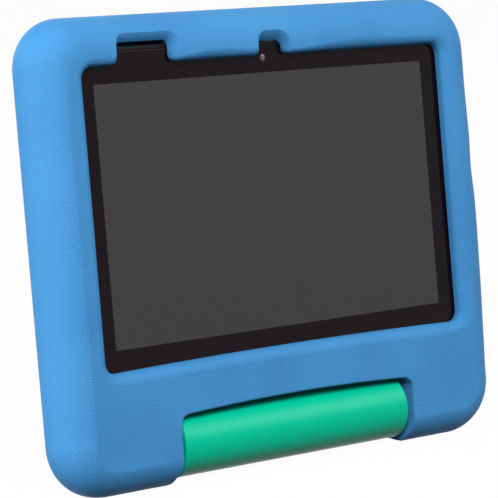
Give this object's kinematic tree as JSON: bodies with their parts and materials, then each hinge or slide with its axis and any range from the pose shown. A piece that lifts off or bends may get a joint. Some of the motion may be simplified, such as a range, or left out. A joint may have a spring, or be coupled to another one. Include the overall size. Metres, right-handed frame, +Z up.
{
  "type": "kids toy tablet",
  "caption": "Child's tablet computer in a thick moulded foam bumper, with a turning barrel stand under its chin that doubles as a carrying handle.",
  "frame": {"origin": "centre of the bounding box in X and Y, on the surface that the feet and the stand rest on", "axes": "+X to the right along the screen's width as seen from the front, +Y to the rear, towards the stand's tip, +Z up"},
  "size_m": [0.2296, 0.102, 0.1927],
  "materials": {
    "foam_blue": "fine pebbled moulded foam",
    "stand_green": "satin moulded plastic",
    "black_plastic": "fine matt",
    "cover_glass": "polished, printed black behind",
    "lens_glass": "polished",
    "display": "smooth",
    "steel": "plain",
    "plate": "pressed",
    "nylon": "moulded",
    "circuit_board": "solder resist",
    "cell_foil": "matt foil",
    "copper_film": "thin film"
  },
  "bodies": {
    "case": {"foam_bumper": "foam_blue", "hinge_bracket_left": "black_plastic", "hinge_bracket_right": "black_plastic", "hinge_pin": "steel", "pin_clips": "steel", "friction_washers": "steel", "front_glass": "cover_glass", "front_lens": "lens_glass", "front_camera": "black_plastic", "display_panel": "display", "front_frame": "black_plastic", "midplate": "plate", "rear_cover": "black_plastic", "rear_lens": "lens_glass", "rear_camera": "black_plastic", "battery": "cell_foil", "battery_lead": "copper_film", "main_board": "circuit_board", "shield_cans": "steel", "usb_port": "steel", "headphone_jack": "black_plastic", "card_socket": "steel", "microphone": "copper_film", "speaker_module": "black_plastic", "wifi_antenna": "copper_film", "side_key_board": "circuit_board", "key_switches": "nylon", "rocker_cradle": "nylon", "display_cable": "copper_film", "frame_screws": "steel"},
    "stand": {"stand_handle": "stand_green", "barrel_cap_left": "stand_green", "barrel_cap_right": "stand_green", "friction_bush_left": "nylon", "friction_bush_right": "nylon"},
    "power_key": {"power_button": "black_plastic"},
    "volume_key": {"volume_rocker": "black_plastic"}
  },
  "joints": [
    {"name": "stand_hinge", "type": "hinge", "parent": "case", "child": "stand", "pos_m": [0, -0.03706, 0.01596], "axis": [1, 0, 0], "range_deg": [-98, 82]},
    {"name": "power_press", "type": "slide", "parent": "case", "child": "power_key", "axis": [-1, 0, 0], "range_m": [0, 0.00035], "stiffness_N_per_m": 3000},
    {"name": "volume_tilt", "type": "hinge", "parent": "case", "child": "volume_key", "pos_m": [0.09825, -0.02438, 0.1238], "axis": [0, -0.9903, 0.1392], "range_deg": [-1.5, 1.5], "stiffness_Nm_per_rad": 0.37}
  ]
}
